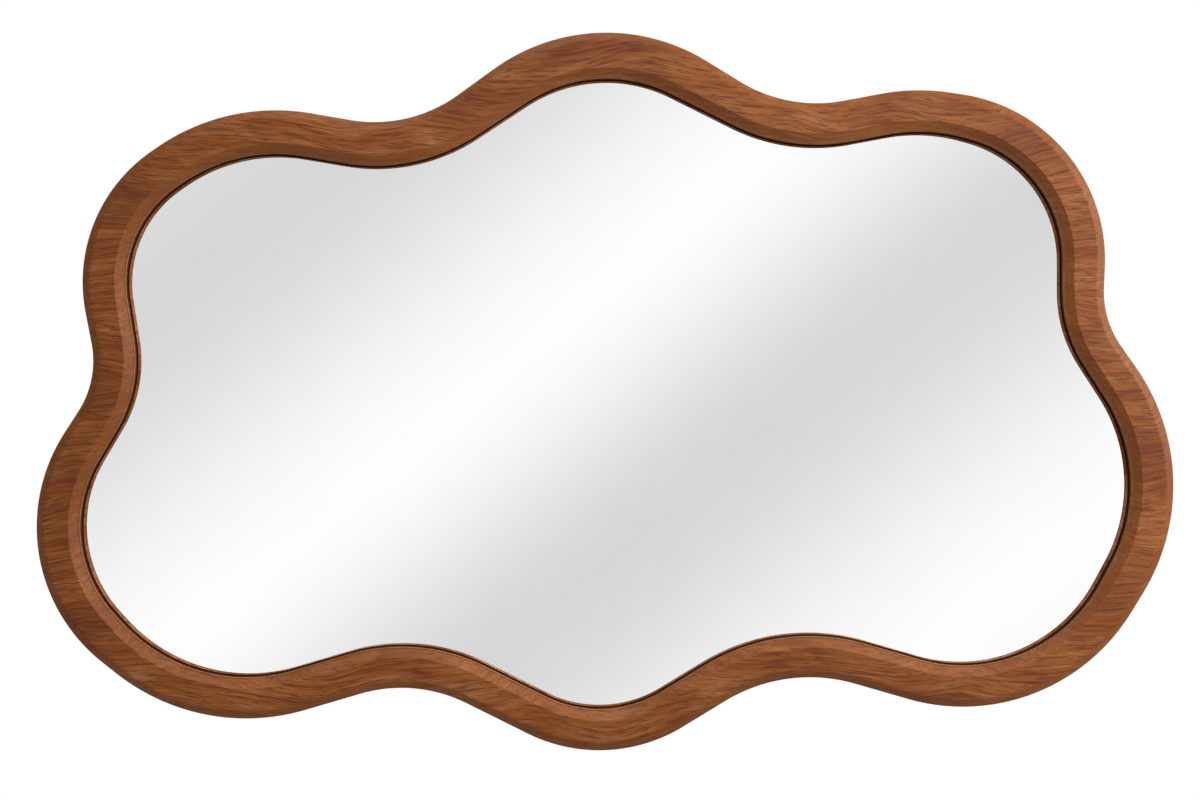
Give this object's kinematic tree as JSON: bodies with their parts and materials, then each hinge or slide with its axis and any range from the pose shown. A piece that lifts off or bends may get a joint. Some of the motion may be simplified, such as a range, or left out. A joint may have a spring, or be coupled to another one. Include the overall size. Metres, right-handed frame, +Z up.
{
  "type": "wall mirror",
  "caption": "Landscape wall mirror with a wavy, cloud-shaped bevelled wood frame, flat silvered glass, screwed back panel and hinged hanging rings.",
  "frame": {"origin": "on the wall plane that the bumpers touch, behind the middle of the mirror's width and height", "axes": "+X right seen from the front, +Y back into the wall, +Z up; the mirror faces -Y"},
  "size_m": [0.966, 0.031, 0.61],
  "materials": {
    "stained_ash": "open-pored ash stained mid brown, thin satin lacquer",
    "beech": "bare, finely fluted",
    "silvered_glass": "polished flat, silvered on the back",
    "fibreboard": "smooth brown hardboard",
    "zinc_screws": "bright zinc plate",
    "zinc_plate": "bright zinc plate",
    "steel_wire": "nickel plated wire",
    "bumper_rubber": "matt rubber"
  },
  "bodies": {
    "mirror": {"frame_top_centre": "stained_ash", "frame_top_right": "stained_ash", "frame_bottom_right": "stained_ash", "frame_bottom_centre": "stained_ash", "frame_bottom_left": "stained_ash", "frame_top_left": "stained_ash", "joint_dowels": "beech", "sight_liner": "stained_ash", "mirror_glass": "silvered_glass", "back_panel": "fibreboard", "panel_screws": "zinc_screws", "left_hanger_plate": "zinc_plate", "right_hanger_plate": "zinc_plate", "hanger_screws": "zinc_screws", "wall_bumpers": "bumper_rubber"},
    "left_ring": {"left_ring": "steel_wire"},
    "right_ring": {"right_ring": "steel_wire"}
  },
  "joints": [
    {"name": "left_ring_hinge", "type": "hinge", "parent": "mirror", "child": "left_ring", "pos_m": [-0.42393, -0.00375, 0.112], "axis": [1, 0, 0], "range_deg": [0, 180]},
    {"name": "right_ring_hinge", "type": "hinge", "parent": "mirror", "child": "right_ring", "pos_m": [0.40407, -0.00375, 0.112], "axis": [1, 0, 0], "range_deg": [0, 180]}
  ]
}
